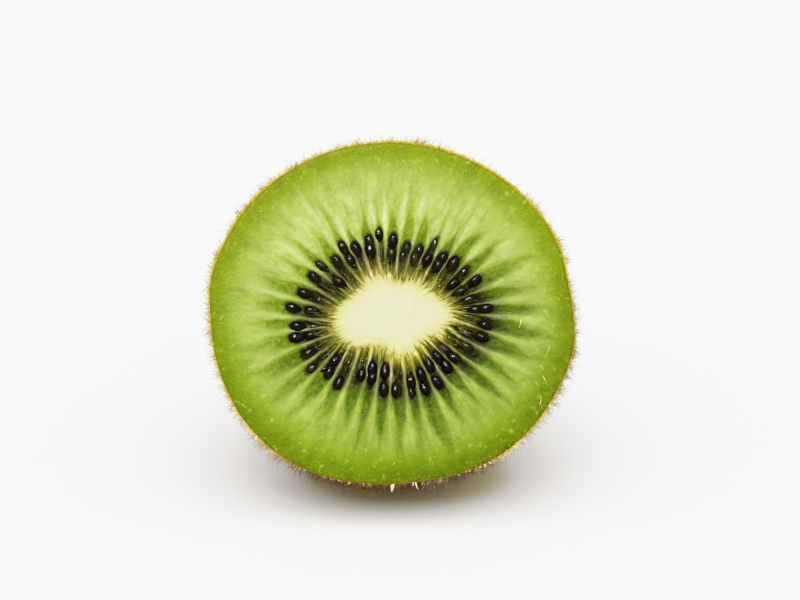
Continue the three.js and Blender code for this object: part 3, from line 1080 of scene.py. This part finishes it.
skin_rings = [on_axis(DEPTH + 0.1)]
skin_rings += [scar_ring(*ring) for ring in SCAR_RINGS]
skin_rings += [skin_ring(depth) for depth in outer_depths + [0.35]]
skin_rings += [skin_lip_ring(*ring) for ring in lip_rings]
skin_rings += [inner_skin_ring(depth) for depth in inner_depths]
skin_rings += [on_axis(DEPTH - SKIN_THICKNESS)]

skin_columns = np.arange(SKIN_COLUMNS) * math.tau / SKIN_COLUMNS
skin = ring_body("kiwi_skin", skin_rings, skin_columns)[0]
set_attribute(skin, "below_cut", -vertex_table(skin.data)[:, 2])
settle(skin, "flesh")

# %% Press the skin flat on the ground
def press_flat(piece, level):
    """Nothing reaches under the ground: what would is pressed flat against it."""
    for point in piece.data.vertices:
        point.co.z = max(point.co.z, level)


press_flat(skin, 0)
press_flat(flesh, SKIN_THICKNESS * 1.5 * MM)
print("lowest point of the skin, mm:", round(min(p.co.z for p in skin.data.vertices) / MM, 3))

# %% Material of the skin
def skin_material():
    recipe = Recipe("kiwi_skin")
    where = recipe.object_coordinates()
    broad = recipe.noise(where, 90, 3.0)
    fine = recipe.noise(where, 1500, 4.0, 0.65)
    colour = recipe.ramp(fine, ((0.3, (98, 74, 38)), (0.5, (134, 104, 56)), (0.72, (174, 140, 84))))
    colour = recipe.mix(recipe.span(broad, 0.35, 0.65, 0, 0.5), colour, linear(114, 90, 44))
    specks = recipe.add("ShaderNodeTexVoronoi", {"Vector": where, "Scale": 620.0}).outputs["Distance"]
    colour = recipe.mix(recipe.span(specks, 0.2, 0.1, 0, 0.55), colour, linear(182, 148, 102))
    below_cut = recipe.attribute("below_cut")
    colour = recipe.mix(recipe.span(below_cut, 37.6, 37.95, 0.0, 0.6), colour, linear(84, 62, 38))
    lip = recipe.span(recipe.times_plus(fine, 0.8, below_cut), 1.3, 0.3)
    # painted shade: the lip is painted a darker brown near the ground
    low = recipe.span(recipe.axis(2), 0.014, 0.007)
    lip_colour = recipe.mix(recipe.span(fine, 0.4, 0.6), linear(146, 144, 20), linear(196, 176, 48))
    colour = recipe.mix(lip, colour, recipe.mix(low, lip_colour, linear(112, 92, 24)))
    height = recipe.times_plus(specks, -0.6, fine)
    return recipe.finish(
        Base_Color=colour, Roughness=0.72, Normal=recipe.bump(height, 0.00012), Sheen_Weight=0.3,
        Sheen_Roughness=0.5,
    )


skin.data.materials.append(skin_material())

# %% [markdown]
# ## Hairs
#
# Short, stiff hairs cover the whole skin. They show best round the edge of the cut, where they stand
# out against the light. One hair is modelled once, as a thin three-sided spike, and a repeatable
# spread of roots copies it over the skin with its own length, lean and bend. A slow swirl combs them, as
# real fuzz lies in tufts. Particles would be easier, but a plain mesh is what other programs can read.
# Hairs that would reach into the ground are pressed flat on it.

# %% Model one hair
def hair_template(rings):
    """Points and triangles of a spike one unit high, with so many rings of three points below its tip."""
    bm = bmesh.new()
    bmesh.ops.create_circle(bm, cap_ends=True, segments=3, radius=1.0)
    top = bm.faces[:]
    for step in range(1, rings + 1):
        grown = bmesh.ops.extrude_face_region(bm, geom=top)["geom"]
        points = [g for g in grown if isinstance(g, bmesh.types.BMVert)]
        top = [g for g in grown if isinstance(g, bmesh.types.BMFace)]
        bmesh.ops.translate(bm, verts=points, vec=(0, 0, 1 / rings))
        thinner = 0.02 if step == rings else 1 - 0.25 * step / rings
        for point in points:
            point.co.x, point.co.y = (c * thinner for c in (point.co.x, point.co.y))
    bmesh.ops.pointmerge(bm, verts=points, merge_co=(0, 0, 1))
    bmesh.ops.triangulate(bm, faces=bm.faces)
    bmesh.ops.recalc_face_normals(bm, faces=bm.faces)
    bm.verts.index_update()
    made = np.array([p.co for p in bm.verts]), np.array([[p.index for p in f.verts] for f in bm.faces])
    bm.free()
    return made

# %% Where on the skin
NORMAL_STEP = 0.01
TRIES_PER_ROOT = 12
MOST_CROWDED = 2.4
PATCH_FINENESS = 20
PATCH_LIMITS = (-0.2, 0.3)


def unit(vectors):
    return vectors / np.linalg.norm(vectors, axis=1, keepdims=True)


def skin_place(angle, depth):
    return place_at(angle, bumped(angle, skin_radius(angle) * fullness_at(depth), -depth), -depth)


def skin_normal(angle, depth):
    round_it = skin_place(angle + NORMAL_STEP, depth) - skin_place(angle - NORMAL_STEP, depth)
    along = skin_place(angle, depth - NORMAL_STEP) - skin_place(angle, depth + NORMAL_STEP)
    return unit(np.cross(round_it, along))


def crowd_even(angle):
    return 1


def scatter_roots(random, count, depths, crowd=crowd_even, patchy=False):
    """Roots spread over the skin between two depths, evenly or in patches, and the way each hair grows.
    crowd says how densely they stand at an angle, from 0 to 1."""
    tries = count * TRIES_PER_ROOT
    angle, depth = random.uniform(0, math.tau, tries), random.uniform(*depths, tries)
    width = np.maximum(fullness_at(depth), 0.2)
    slope = (depth / DEPTH) ** (FULLNESS - 1) / width ** (FULLNESS - 1) * FACE_HALF_SIZE[0] / DEPTH
    keep = random.uniform(0, MOST_CROWDED, tries) < width * np.sqrt(1 + slope ** 2) * crowd(angle)
    if patchy:
        patches = noise_of(np.cos(angle) * PATCH_FINENESS, np.sin(angle) * PATCH_FINENESS, depth)
        keep &= patches > random.uniform(*PATCH_LIMITS, tries)
    angle, depth = angle[keep][:count], depth[keep][:count]
    return skin_place(angle, depth), skin_normal(angle, depth)

# %% Many hairs as one mesh
HAIR_ROOTED = 0.05
HAIR_STRAYS = 0.35
COMB_FINENESS = 1.1
COMB_STRENGTH = 2


def across_hairs(ways, grows):
    """What is left of some ways once the part along the hairs is taken off."""
    return ways - (ways * grows).sum(1, keepdims=True) * grows


def combed(root, grows):
    """A slow swirl over the skin, so that neighbouring hairs lean the same way and stand in tufts."""
    swirl = np.stack([noise_of(*(root * COMB_FINENESS + 31 * axis).T) for axis in range(3)], 1)
    return across_hairs(swirl * COMB_STRENGTH, grows)


def hair_piece(name, random, roots, length, width, tip_over, rings=2, bend=0.35):
    """Hairs from roots. tip_over is how far they tip off the way they grow, width half their thickness.
    A root right at the cut has no skin on both sides to grow square to, so its hair is left out."""
    shape, faces = hair_template(rings)
    root, grows = roots
    count = len(root)
    aside = random.normal(0, HAIR_STRAYS, (count, 3)) + combed(root, grows)
    aside = unit(across_hairs(aside, grows))
    direction = unit(grows + aside * random.uniform(*tip_over, (count, 1)))
    side = unit(np.cross(direction, random.normal(0, 1, (count, 3))))
    other = np.cross(direction, side)
    long, wide, bent = (
        random.uniform(*limits, count)[:, None, None] for limits in (length, width, (-bend, bend))
    )
    x, y, z = (shape[None, :, c, None] for c in range(3))
    points = (root - HAIR_ROOTED * grows)[:, None] + direction[:, None] * z * long
    points = points + side[:, None] * (x * wide + bent * z * z * long) + other[:, None] * y * wide
    tint = random.uniform(0, 1, count)
    grown = np.isfinite(points).all((1, 2))
    points, tint, count = points[grown], tint[grown], grown.sum()
    all_faces = (np.arange(count)[:, None, None] * len(shape) + faces).reshape(-1, 3)
    mesh = bpy.data.meshes.new(name)
    mesh.from_pydata(points.reshape(-1, 3).tolist(), [], all_faces.tolist())
    mesh.update()
    piece = bpy.data.objects.new(name, mesh)
    bpy.context.scene.collection.objects.link(piece)
    set_attribute(piece, "along", np.tile(shape[:, 2], count))
    set_attribute(piece, "tint", np.repeat(tint, len(shape)))
    return piece

# %% [markdown]
# ## Six kinds of hair
#
# Down, fuzz and long hairs grow all over. The edge of the cut has two kinds of its own: golden down that
# makes a bright line, mostly above, and thin brown hairs in patches. Where the knife tore the skin, a pale
# fringe stands out. Each kind is one piece, so that it can have its own colours.

# %% Hairs of the skin
HAIR_START = 11
ALL_OVER = (0.1, 37.5)
EDGE = (-0.05, 0.6)
TORN_STRETCHES = ((1, -46), (0.5, 215))


def crowd_above(angle):
    return 0.3 + 0.7 * smooth_step(np.sin(angle), 0.0, 0.5)


def crowd_where_torn(angle):
    return sum(share * hump(angle, at, 22) for share, at in TORN_STRETCHES)


def crowd_where_whole(angle):
    return 1 - 0.7 * crowd_where_torn(angle)


# name: how many, how deep, crowd, in patches; lengths, half widths, tip over, rings, bend
HAIR_KINDS = {
    "kiwi_down": ((30000, ALL_OVER), ((0.15, 0.4), (0.024, 0.036), (0.2, 1.6), 1)),
    "kiwi_fuzz": ((12000, ALL_OVER), ((0.35, 0.9), (0.02, 0.032), (0.2, 1.4))),
    "kiwi_long_hairs": ((5500, ALL_OVER), ((0.8, 1.7), (0.018, 0.03), (0.1, 1.0), 3)),
    "kiwi_rim_down": ((20000, EDGE, crowd_above), ((0.12, 0.75), (0.02, 0.034), (0.1, 0.9), 1)),
    "kiwi_rim_hairs": (
        (2100, (0.0, 1.8), crowd_where_whole, True), ((0.7, 2.3), (0.018, 0.032), (0.2, 1.3), 3, 0.6)
    ),
    "kiwi_torn_fringe": ((2100, EDGE, crowd_where_torn, True), ((0.3, 1.0), (0.03, 0.05), (0.1, 1.0), 2)),
}
random = np.random.default_rng(HAIR_START)
strands = []
for name, (spread, form) in HAIR_KINDS.items():
    strands.append(hair_piece(name, random, scatter_roots(random, *spread), *form))
print(len(strands), "kinds of hair on the skin")

# %% [markdown]
# ## Small things on the cut
#
# A knife leaves litter on the face of a fruit. Thin fibres run out from the heart over the chambers, small
# specks of pulp lie in them, pale flecks lie on the outer flesh, and a few hairs have dropped on the right.
# They are strands too, laid along the cut, so the maker of hairs makes them as well.

# %% Fibres, specks, flecks and stray hairs on the cut
FIBRES = 420
SPECKS = 1100
FLECKS = 600
FLECKS_CROWD_AT = math.radians(75)
STRAY_HAIRS = ((18.9, -1.2, -100), (23.1, -5.1, -110), (22.0, -9.4, -60), (21.6, -13.6, 60))
STRAY_LIFT = 0.12
LYING = (0, 0.1)
OVER_CUT = 0.03
NEARLY_FLAT = (1, 1, 0.12)


def cut_place(spoke, distance, out=None):
    """Places at distances from the heart, just over the cut or at a height of their own."""
    angle = spoke_angle(spoke, distance)
    radius = heart_radius(angle) + distance
    return place_at(angle, radius, face_height(spoke, angle, radius) + OVER_CUT if out is None else out)


def any_way_along_cut(count):
    return unit(random.normal(0, 1, (count, 3)) * NEARLY_FLAT)


fibre_spoke, fibre_distance = random.uniform(0, math.tau, FIBRES), random.uniform(0.1, 3.6, FIBRES)
fibre_out = random.uniform(-0.1, 0.3, FIBRES)
root = cut_place(fibre_spoke, fibre_distance, fibre_out)
way = unit(cut_place(fibre_spoke, fibre_distance + 1, fibre_out) - root)
strands.append(hair_piece("kiwi_fibres", random, (root, way), (0.8, 2.2), (0.012, 0.024), LYING, 4, 0.12))

root = cut_place(random.uniform(0, math.tau, SPECKS), random.uniform(2.5, 11, SPECKS))
way = any_way_along_cut(SPECKS)
strands.append(hair_piece("kiwi_specks", random, (root, way), (0.1, 0.3), (0.02, 0.04), LYING, 1))

fleck_angle = random.vonmises(FLECKS_CROWD_AT, 1.1, FLECKS)
fleck_share = 1 - 0.5 * random.uniform(0, 1, FLECKS) ** 1.9
root = cut_place(fleck_angle, fleck_share * (room_at(fleck_angle) - 0.4))
way = any_way_along_cut(FLECKS)
strands.append(hair_piece("kiwi_flecks", random, (root, way), (0.25, 0.9), (0.012, 0.022), LYING, 2, 0.5))

across, rise, turned = np.array(STRAY_HAIRS).T
root = np.stack([across, rise, 0 * across + STRAY_LIFT], 1)
way = unit(place_at(np.radians(turned), 1, STRAY_LIFT))
strands.append(hair_piece("kiwi_stray_hairs", random, (root, way), (1.3, 1.7), (0.06, 0.08), LYING, 8, 0.7))

# %% [markdown]
# ## Torn skin
#
# Along the lower edge the knife left small strips of skin hanging. A strip is a grid that tapers, curls
# forward and gets its thickness from `bmesh.ops.solidify`. A few large ones have places of their own, and a
# repeatable draw adds small ones. Each has a tint, from brown to nearly white. A flap stores no place along
# it, so it keeps its root colour all over.

# %% Torn flaps of skin along the lower edge
FLAPS = (
    (-90, 1.4, 0.7, 0.6), (-82.3, 1.5, 0.22, 1.0), (-83.2, 0.9, 0.2, 0.9), (-104, 0.7, 0.45, 0.2),
    (-97, 0.5, 0.4, 0.1), (-53.5, 0.8, 0.4, 0.4), (-51, 0.6, 0.35, 0.3), (-68, 0.5, 0.4, 0.1),
    (-40, 0.6, 0.5, 0.5),
)
MORE_FLAPS = ((18, (-66, -24), (0.35, 0.85)), (16, (-140, -96), (0.0, 0.4)))
FLAP_THICKNESS = 0.05
FLAP_LENGTH = (0.3, 0.8)
FLAP_WIDTH = (0.15, 0.45)


def add_flap(bm, at, length, width, random):
    """A tapered strip of skin that hangs from the cut's edge, curls forward and leans to one side."""
    angle = math.radians(at)
    outwards = Vector((math.cos(angle), math.sin(angle), 0))
    aside = Vector((-math.sin(angle), math.cos(angle), 0))
    start = outwards * (float(skin_radius(angle)) - 0.05)
    curl, drift, roll = random.uniform(0.5, 1.5), random.uniform(-0.5, 0.5), random.uniform(-0.9, 0.9)
    grid = bmesh.ops.create_grid(bm, x_segments=8, y_segments=4, size=0.5)["verts"]
    for point in grid:
        u, v = point.co.x + 0.5, point.co.y * 2
        ragged = 1 + 0.5 * noise.noise((u * 5, v * 2, at))
        across = v * width / 2 * (1 - 0.92 * u ** 1.2) * ragged + drift * u * u * length
        ahead = length * math.sin(curl * u) / curl
        lifted = length * (1 - math.cos(curl * u)) / curl + 0.1 * v * v + roll * across
        point.co = start + outwards * ahead + aside * across + Vector((0, 0, lifted))
    faces = {face for point in grid for face in point.link_faces}
    bmesh.ops.solidify(bm, geom=list(faces), thickness=FLAP_THICKNESS)


bm = bmesh.new()
flap_tints = []
small_flaps = tuple(
    tuple(random.uniform(*limits) for limits in (arc, FLAP_LENGTH, FLAP_WIDTH, tints))
    for count, arc, tints in MORE_FLAPS for flap in range(count)
)
for at, length, width, tint in FLAPS + small_flaps:
    add_flap(bm, at, length, width, random)
    flap_tints += [tint] * (len(bm.verts) - len(flap_tints))
bmesh.ops.recalc_face_normals(bm, faces=bm.faces)
smooth_faces(bm)
flaps = object_from(bm, "kiwi_skin_flaps")
set_attribute(flaps, "tint", np.array(flap_tints) + 0.3 * noise_of(*vertex_table(flaps.data).T * 2))
strands.append(flaps)

# %% [markdown]
# ## Colours of the strands
#
# Every strand stores a tint and how far along it each point is. The tint picks one of three colours, or
# one in between, at the root and again at the tip, so that no two hairs match. Hairs near the ground are
# painted a dull brown and those at the right edge a warmer one: painted shade, where less light reaches
# them.

# %% Material of a kind of strand
TINTS = (0.0, 0.5, 1.0)
LOW_HAIR_SHADE = linear(88, 56, 18)
LOW_SHADE_HEIGHTS = (0.0068, 0.0115)
RIGHT_HAIR_SHADE = linear(134, 106, 28)
TO_THE_RIGHT = (0.97, 0.0, -0.26)
RIGHT_SHADE_EDGE = (0.0160, 0.0195)


def strand_material(name, shaded, root_colours, tip_colours):
    """shaded is how much painted shade darkens the strands near the ground and, a little less, at the right
    edge.
    """
    recipe = Recipe(name)
    tint = recipe.attribute("tint")
    root, tip = (recipe.ramp(tint, tuple(zip(TINTS, colours))) for colours in (root_colours, tip_colours))
    colour = recipe.mix(recipe.attribute("along"), root, tip)
    right = recipe.vectors("DOT_PRODUCT", recipe.object_coordinates(), TO_THE_RIGHT)[1]
    # painted shade: strands painted a warm brown at the right edge and a dull brown near the ground
    colour = recipe.mix(recipe.span(right, *RIGHT_SHADE_EDGE, 0.0, 0.7 * shaded), colour, RIGHT_HAIR_SHADE)
    colour = recipe.mix(recipe.span(recipe.axis(2), *LOW_SHADE_HEIGHTS, shaded, 0.0), colour, LOW_HAIR_SHADE)
    return recipe.finish(Base_Color=colour, Roughness=0.5)

# %% Colours of all strands
# material: how much it is shaded, its three root colours and its three tip colours
STRAND_COLOURS = {
    "kiwi_hairs": (
        0.85, ((98, 74, 34), (136, 104, 50), (172, 138, 72)),
        ((160, 126, 64), (200, 166, 90), (232, 202, 126)),
    ),
    "kiwi_rim_hairs": (
        0.85, ((124, 84, 18), (166, 122, 30), (208, 168, 54)),
        ((110, 64, 20), (164, 110, 40), (218, 174, 84)),
    ),
    # The down's pale yellow is partly its own golden colour and partly painted light: the glow of light
    # shining through thin hairs.
    "kiwi_rim_down": (
        0.85, ((170, 150, 16), (204, 184, 26), (226, 208, 50)),
        ((206, 184, 50), (240, 224, 90), (252, 242, 140)),
    ),
    "kiwi_flecks": (0.0, ((172, 190, 70),) * 3, ((180, 198, 80), (194, 210, 98), (220, 232, 140))),
    "kiwi_fibres": (
        0.0, ((140, 134, 50), (158, 152, 64), (184, 178, 92)),
        ((58, 58, 18), (76, 76, 24), (104, 104, 40)),
    ),
    "kiwi_specks": (
        0.0, ((84, 104, 26), (112, 134, 38), (140, 164, 58)),
        ((104, 126, 34), (134, 158, 50), (174, 196, 88)),
    ),
    "kiwi_stray_hairs": (0.0, ((226, 220, 110),) * 3, ((244, 240, 160),) * 3),
    "kiwi_torn_fringe": (
        0.3, ((222, 194, 130), (240, 220, 166), (250, 238, 200)),
        ((244, 226, 184), (252, 242, 216), (255, 250, 236)),
    ),
    "kiwi_skin_flaps": (0.0, ((150, 122, 50), (206, 178, 112), (240, 228, 194)), ((0, 0, 0),) * 3),
}
BROWN_HAIRS = ("kiwi_down", "kiwi_fuzz", "kiwi_long_hairs")
LOWEST_STRAND = 0.02

strand_materials = {name: strand_material(name, *look) for name, look in STRAND_COLOURS.items()}
for piece in strands:
    piece.data.materials.append(strand_materials["kiwi_hairs" if piece.name in BROWN_HAIRS else piece.name])
    settle(piece, None)
    press_flat(piece, LOWEST_STRAND * MM)

# %% [markdown]
# ## Floor, light and camera
#
# A pale floor and soft light from above and the front keep the shadows wide and faint. Right under the
# fruit the floor is a little warmer, as if by light that the fruit throws back. A second, narrow lamp only
# makes the glints on what is wet: it adds no diffuse light. The camera looks down at the leaning face from
# the front, nearly square to it.

# %% Floor
FLOOR_HALF_SIZE = 3.0
BOUNCE_LIGHT_OFFSET = (-0.002, 0.008, 0.0)
BOUNCE_LIGHT_SCALE = (62.0, 98.0, 0.0)
WHITE = (1.0, 1.0, 1.0, 1.0)
BOUNCE_WARM = (0.77, 0.72, 0.5, 1.0)

bm = bmesh.new()
bmesh.ops.create_grid(bm, x_segments=1, y_segments=1, size=FLOOR_HALF_SIZE)
floor = object_from(bm, "floor")
recipe = Recipe("floor")
where = recipe.object_coordinates()
floor_tone = recipe.span(recipe.noise(where, 8, 3.0), 0.3, 0.7, 0.86, 0.88)
# painted bounce light: a warm patch on the floor right under the fruit
around = recipe.vectors("MULTIPLY", recipe.vectors("ADD", where, BOUNCE_LIGHT_OFFSET)[0], BOUNCE_LIGHT_SCALE)[0]
distance = recipe.vectors("LENGTH", around)[1]
bounce_patch = recipe.mix(recipe.span(distance, 1.15, 0.75), WHITE, BOUNCE_WARM)
floor.data.materials.append(recipe.finish(Base_Color=lighten(recipe, bounce_patch, floor_tone), Roughness=0.8))

# %% Lights
def sky_cap(name, towards, width, energy):
    """Even light from a round patch of sky, so many degrees wide."""
    data = bpy.data.lights.new(name, "SUN")
    data.energy, data.angle = energy, math.radians(width)
    lamp = bpy.data.objects.new(name, data)
    lamp.rotation_euler = Vector(towards).to_track_quat("Z", "Y").to_euler()
    bpy.context.scene.collection.objects.link(lamp)
    return lamp


sky_cap("softbox_overhead", (-0.03, -0.4, 1), 104, 1.5)
glint = sky_cap("glint", (-0.12, -0.6, 0.85), 5, 9.0)
glint.visible_diffuse = False

SKY_STRENGTH = 1.06

world = bpy.data.worlds.new("room")
world.use_nodes = True
background = world.node_tree.nodes["Background"]
background.inputs["Color"].default_value = WHITE
background.inputs["Strength"].default_value = SKY_STRENGTH
bpy.context.scene.world = world

# %% Film: a soft shoulder, as a camera has, keeps the pale floor just under white
FILM_CURVE = ((0.02, 0.011), (0.07, 0.07), (0.22, 0.3), (0.5, 0.68), (0.7, 0.86))
FILM_END = (1.0, 0.953)
FILM_WHITE = (1.4, 1.4, 1.4)

view = bpy.context.scene.view_settings
view.view_transform = "Standard"
view.use_curve_mapping = True
film = view.curve_mapping
film.white_level = FILM_WHITE
curve = film.curves[3]
for place, value in FILM_CURVE:
    curve.points.new(place, value)
curve.points[-1].location = FILM_END
film.update()

# %% Camera
CAMERA_ELEVATION = 22
CAMERA_DISTANCE = 450
PIXELS_PER_MM = 6.8
FACE_PIXEL = (392.5, 312.0)
IMAGE_SIZE = (800, 600)
SENSOR_WIDTH = 36

data = bpy.data.cameras.new("camera")
data.sensor_width = SENSOR_WIDTH
data.lens = PIXELS_PER_MM * CAMERA_DISTANCE * data.sensor_width / IMAGE_SIZE[0]
camera = bpy.data.objects.new("camera", data)
tilt = math.radians(CAMERA_ELEVATION)
back, up = Vector((0, -math.cos(tilt), math.sin(tilt))), Vector((0, math.sin(tilt), math.cos(tilt)))
aside = (IMAGE_SIZE[0] / 2 - FACE_PIXEL[0]) / PIXELS_PER_MM
above = (FACE_PIXEL[1] - IMAGE_SIZE[1] / 2) / PIXELS_PER_MM
camera.location = (face_middle + back * CAMERA_DISTANCE + Vector((aside, 0, 0)) + up * above) * MM
camera.rotation_euler = (math.radians(90 - CAMERA_ELEVATION), 0, 0)
bpy.context.scene.collection.objects.link(camera)
bpy.context.scene.camera = camera
print("camera with a lens of", round(data.lens), "mm")
